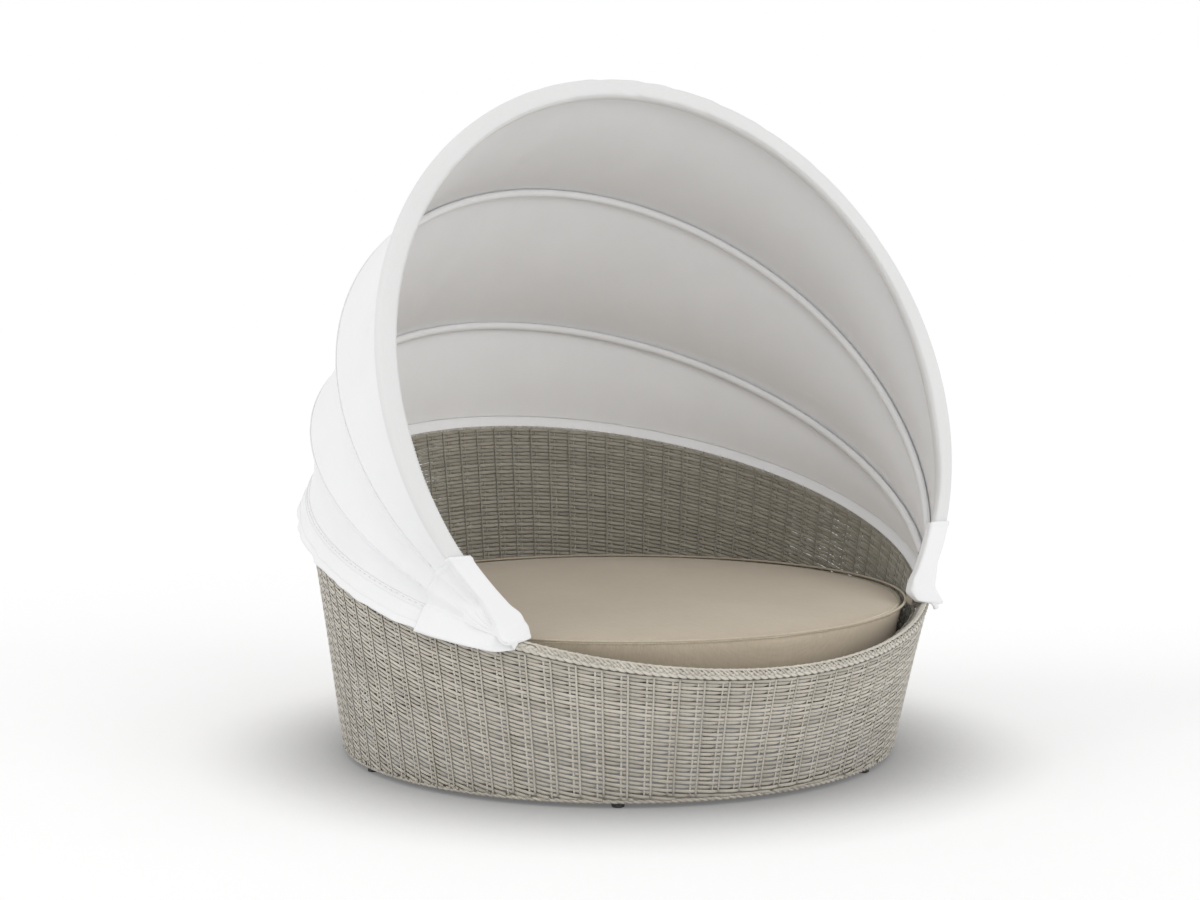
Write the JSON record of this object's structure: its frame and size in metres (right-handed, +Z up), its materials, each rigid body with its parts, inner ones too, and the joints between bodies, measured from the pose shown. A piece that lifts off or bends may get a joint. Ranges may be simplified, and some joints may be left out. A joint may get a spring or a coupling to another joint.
{
  "type": "outdoor daybed with canopy",
  "caption": "Round outdoor daybed: a woven basket on a slatted deck with a loose cushion, shaded by a fabric canopy on bows hinged at the rim.",
  "frame": {"origin": "on the floor under the centre of the basket", "axes": "+Z up, -Y towards the low front edge of the basket, X across the seat"},
  "size_m": [1.7942, 1.7691, 1.8681],
  "materials": {
    "woven_fibre": "flat woven synthetic fibre, pale greige",
    "beige_metal": "beige powder coat",
    "bare_steel": "plain stainless",
    "dark_plastic": "moulded, matt",
    "white_cloth": "plain woven canopy cloth",
    "taupe_cloth": "smooth plain-weave cover",
    "foam_block": "open-cell foam"
  },
  "bodies": {
    "basket": {"basket_frame": "beige_metal", "bracket_bolt_left_1": "bare_steel", "bracket_bolt_left_2": "bare_steel", "bracket_bolt_right_1": "bare_steel", "bracket_bolt_right_2": "bare_steel", "canopy_skirt": "white_cloth", "deck_frame": "beige_metal", "deck_slat_1": "beige_metal", "deck_slat_2": "beige_metal", "deck_slat_3": "beige_metal", "deck_slat_4": "beige_metal", "deck_slat_5": "beige_metal", "deck_slat_6": "beige_metal", "deck_slat_7": "beige_metal", "deck_slat_8": "beige_metal", "deck_slat_9": "beige_metal", "floor_glide_1": "dark_plastic", "floor_glide_2": "dark_plastic", "floor_glide_3": "dark_plastic", "floor_glide_4": "dark_plastic", "floor_glide_5": "dark_plastic", "floor_glide_6": "dark_plastic", "glide_screw_1": "bare_steel", "glide_screw_2": "bare_steel", "glide_screw_3": "bare_steel", "glide_screw_4": "bare_steel", "glide_screw_5": "bare_steel", "glide_screw_6": "bare_steel", "inner_weave": "woven_fibre", "outer_weave": "woven_fibre", "pivot_bracket_left": "beige_metal", "pivot_bracket_right": "beige_metal", "pivot_nut_left": "bare_steel", "pivot_nut_right": "bare_steel", "pivot_pin_left": "bare_steel", "pivot_pin_right": "bare_steel", "pivot_pouch_left": "white_cloth", "pivot_pouch_right": "white_cloth", "pivot_spacer_left_inner": "dark_plastic", "pivot_spacer_left_outer": "dark_plastic", "pivot_spacer_right_inner": "dark_plastic", "pivot_spacer_right_outer": "dark_plastic", "rim_binding": "white_cloth", "rim_weave_back": "woven_fibre", "rim_weave_front": "woven_fibre"},
    "front_bow": {"front_bow": "beige_metal", "front_bow_sleeve": "white_cloth", "canopy_front_panel": "white_cloth"},
    "mid_bow": {"mid_bow": "beige_metal", "mid_bow_pocket": "white_cloth", "canopy_mid_panel": "white_cloth"},
    "rear_bow": {"rear_bow": "beige_metal", "rear_bow_pocket": "white_cloth", "canopy_rear_panel": "white_cloth"},
    "cushion": {"cushion_foam": "foam_block", "cushion_cover": "taupe_cloth", "cushion_base_cloth": "taupe_cloth", "cushion_piping": "taupe_cloth", "cushion_zip": "taupe_cloth"}
  },
  "joints": [
    {"name": "canopy_fold", "type": "hinge", "parent": "basket", "child": "front_bow", "pos_m": [0, -0.56675, 0.46166], "axis": [-1, 0, 0], "range_deg": [0, 34], "deforming": ["canopy_front_panel", "canopy_mid_panel", "canopy_rear_panel", "pivot_pouch_left", "pivot_pouch_right"]},
    {"name": "mid_bow_fold", "type": "hinge", "parent": "basket", "child": "mid_bow", "pos_m": [0, -0.56675, 0.46166], "axis": [-1, 0, 0], "range_deg": [0, 20.1]},
    {"name": "rear_bow_fold", "type": "hinge", "parent": "basket", "child": "rear_bow", "pos_m": [0, -0.56675, 0.46166], "axis": [-1, 0, 0], "range_deg": [0, 6.9]},
    {"name": "cushion_lift", "type": "slide", "parent": "basket", "child": "cushion", "axis": [0, 0, 1], "range_m": [0, 0.3]}
  ],
  "couplings": [
    {"joint": "mid_bow_fold", "follows": "canopy_fold", "ratio": 0.59},
    {"joint": "rear_bow_fold", "follows": "canopy_fold", "ratio": 0.2}
  ]
}
